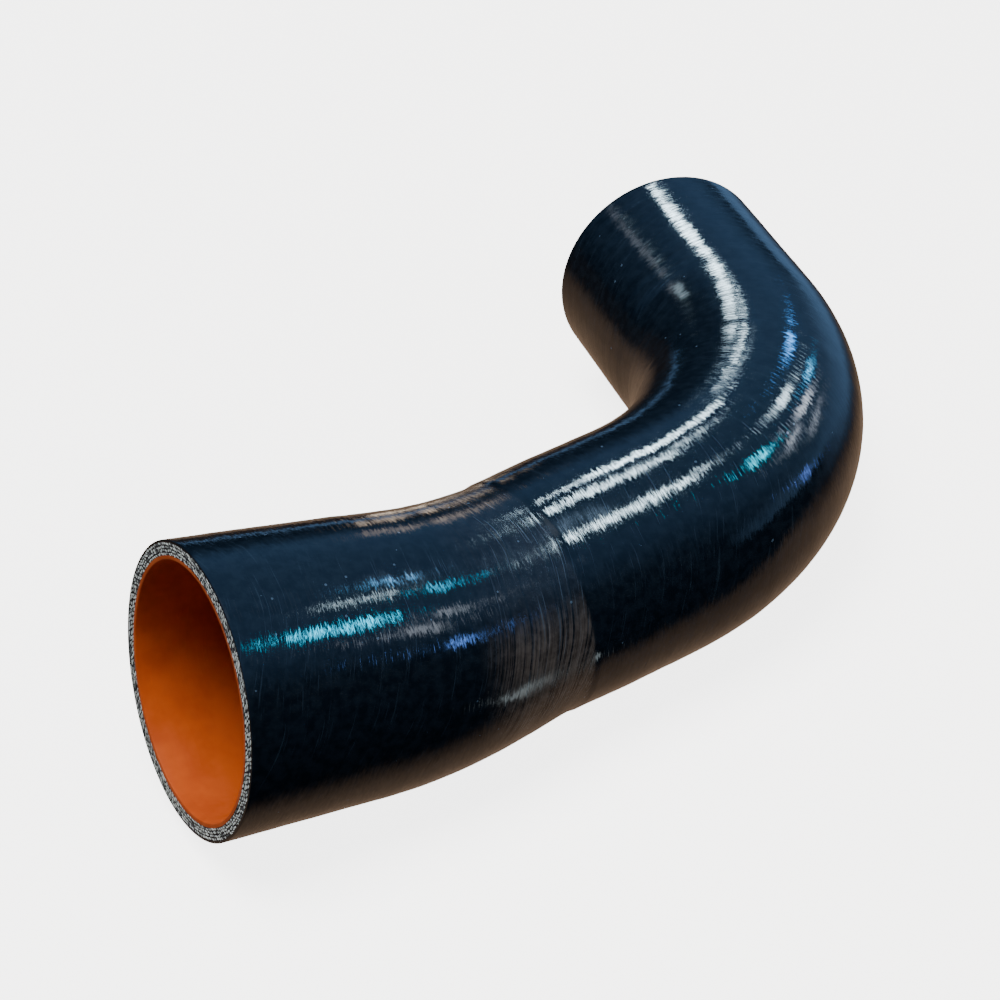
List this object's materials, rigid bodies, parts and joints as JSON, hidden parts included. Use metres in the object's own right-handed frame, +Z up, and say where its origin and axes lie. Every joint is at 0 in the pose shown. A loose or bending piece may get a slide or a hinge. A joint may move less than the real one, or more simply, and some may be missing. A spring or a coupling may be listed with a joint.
{
  "type": "intercooler intake hose",
  "caption": "Bent reducer hose of silicone rubber with a wide and a narrow open end, an orange lining, a fabric-reinforced wall and a glossy black cover.",
  "frame": {"origin": "middle of the footprint of the hose as it lies on a flat surface, at the height of that surface", "axes": "+Z up, +X level and along the large leg from the large cut end, +Y towards the side on which the small end lies"},
  "size_m": [0.289, 0.2006, 0.0928],
  "materials": {
    "liner": "smooth satin orange silicone rubber",
    "reinforcement": "cut ends of woven fabric plies, speckled grey in dark rubber",
    "cover": "glossy blue-black silicone rubber with fine marks of the wrapping tape around it"
  },
  "bodies": {
    "root": {"liner": "liner", "reinforcement": "reinforcement", "cover": "cover"}
  },
  "joints": []
}
